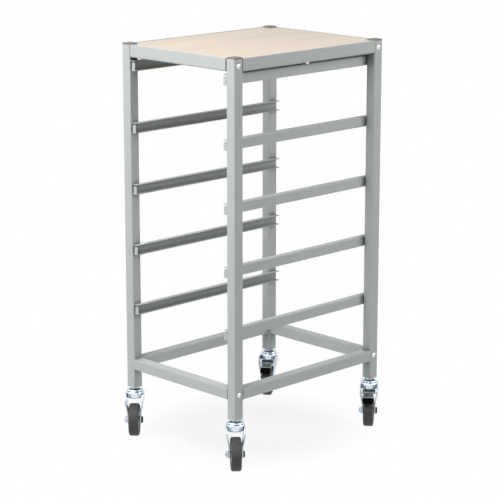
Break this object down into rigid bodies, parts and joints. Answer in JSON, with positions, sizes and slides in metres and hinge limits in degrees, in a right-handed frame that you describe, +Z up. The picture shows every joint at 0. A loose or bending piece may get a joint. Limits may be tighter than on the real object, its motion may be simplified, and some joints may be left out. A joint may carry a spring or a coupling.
{
  "type": "tray trolley",
  "caption": "Tall open tray trolley of square steel tube with folded channel runners, a wood-laminate top board and braked swivel castors, for sliding storage trays.",
  "frame": {"origin": "on the floor under the middle of the four legs", "axes": "+Z up, +X towards the right side frame, -Y towards the end where the runners have their stops"},
  "size_m": [0.4062, 0.5072, 0.9],
  "materials": {
    "frame_paint": "silver-grey powder coat, fine texture",
    "board_laminate": "pale wood-grain laminate, satin",
    "cap_plastic": "moulded, matte",
    "inner_plastic": "moulded, matte",
    "screw_steel": "zinc plated",
    "zinc": "bright zinc plate, slightly blue",
    "black_steel": "black oxide",
    "ball_steel": "polished",
    "hub_plastic": "moulded, light grey",
    "tyre_rubber": "moulded rubber, smooth tread",
    "pedal_plastic": "moulded, fine texture"
  },
  "bodies": {
    "frame": {"leg_front_left": "frame_paint", "leg_front_right": "frame_paint", "leg_rear_left": "frame_paint", "leg_rear_right": "frame_paint", "top_rail_front": "frame_paint", "bottom_rail_front": "frame_paint", "top_rail_rear": "frame_paint", "bottom_rail_rear": "frame_paint", "top_rail_left": "frame_paint", "bottom_rail_left": "frame_paint", "top_rail_right": "frame_paint", "bottom_rail_right": "frame_paint", "runner_left_1": "frame_paint", "runner_left_2": "frame_paint", "runner_left_3": "frame_paint", "runner_left_4": "frame_paint", "runner_left_5": "frame_paint", "runner_right_1": "frame_paint", "runner_right_2": "frame_paint", "runner_right_3": "frame_paint", "runner_right_4": "frame_paint", "runner_right_5": "frame_paint", "top_board": "board_laminate", "leg_caps": "cap_plastic", "frame_screws": "screw_steel", "rail_plugs": "inner_plastic", "board_screws": "screw_steel", "castor_plugs": "inner_plastic", "castor_stems": "zinc", "castor_top_races": "zinc", "castor_balls": "ball_steel"},
    "castor_front_left": {"fork_front_left": "zinc", "axle_bolt_front_left": "black_steel", "axle_nut_front_left": "zinc"},
    "wheel_front_left": {"hub_front_left": "hub_plastic", "tyre_front_left": "tyre_rubber"},
    "castor_front_right": {"fork_front_right": "zinc", "axle_bolt_front_right": "black_steel", "axle_nut_front_right": "zinc"},
    "wheel_front_right": {"hub_front_right": "hub_plastic", "tyre_front_right": "tyre_rubber"},
    "castor_rear_left": {"fork_rear_left": "zinc", "axle_bolt_rear_left": "black_steel", "axle_nut_rear_left": "zinc", "brake_pin_rear_left": "zinc", "brake_spring_rear_left": "zinc"},
    "wheel_rear_left": {"hub_rear_left": "hub_plastic", "tyre_rear_left": "tyre_rubber"},
    "brake_rear_left": {"brake_lever_rear_left": "zinc", "brake_pedal_rear_left": "pedal_plastic"},
    "castor_rear_right": {"fork_rear_right": "zinc", "axle_bolt_rear_right": "black_steel", "axle_nut_rear_right": "zinc", "brake_pin_rear_right": "zinc", "brake_spring_rear_right": "zinc"},
    "wheel_rear_right": {"hub_rear_right": "hub_plastic", "tyre_rear_right": "tyre_rubber"},
    "brake_rear_right": {"brake_lever_rear_right": "zinc", "brake_pedal_rear_right": "pedal_plastic"}
  },
  "joints": [
    {"name": "swivel_front_left", "type": "hinge", "parent": "frame", "child": "castor_front_left", "pos_m": [-0.1655, -0.2175, 0.1004], "axis": [0, 0, 1], "continuous": true},
    {"name": "roll_front_left", "type": "hinge", "parent": "castor_front_left", "child": "wheel_front_left", "pos_m": [-0.15022, -0.23333, 0.0375], "axis": [0.7193, 0.6947, 0], "continuous": true},
    {"name": "swivel_front_right", "type": "hinge", "parent": "frame", "child": "castor_front_right", "pos_m": [0.1655, -0.2175, 0.1004], "axis": [0, 0, 1], "continuous": true},
    {"name": "roll_front_right", "type": "hinge", "parent": "castor_front_right", "child": "wheel_front_right", "pos_m": [0.1821, -0.23193, 0.0375], "axis": [0.6561, 0.7547, 0], "continuous": true},
    {"name": "swivel_rear_left", "type": "hinge", "parent": "frame", "child": "castor_rear_left", "pos_m": [-0.1655, 0.2175, 0.1004], "axis": [0, 0, 1], "continuous": true},
    {"name": "roll_rear_left", "type": "hinge", "parent": "castor_rear_left", "child": "wheel_rear_left", "pos_m": [-0.15257, 0.1997, 0.0375], "axis": [0.809, 0.5878, 0], "continuous": true},
    {"name": "press_brake_rear_left", "type": "hinge", "parent": "castor_rear_left", "child": "brake_rear_left", "pos_m": [-0.15022, 0.19647, 0.0805], "axis": [0.809, 0.5878, 0], "range_deg": [0, 8]},
    {"name": "swivel_rear_right", "type": "hinge", "parent": "frame", "child": "castor_rear_right", "pos_m": [0.1655, 0.2175, 0.1004], "axis": [0, 0, 1], "continuous": true},
    {"name": "roll_rear_right", "type": "hinge", "parent": "castor_rear_right", "child": "wheel_rear_right", "pos_m": [0.17935, 0.2004, 0.0375], "axis": [0.7771, 0.6293, 0], "continuous": true},
    {"name": "press_brake_rear_right", "type": "hinge", "parent": "castor_rear_right", "child": "brake_rear_right", "pos_m": [0.18186, 0.19729, 0.0805], "axis": [0.7771, 0.6293, 0], "range_deg": [0, 8]}
  ]
}
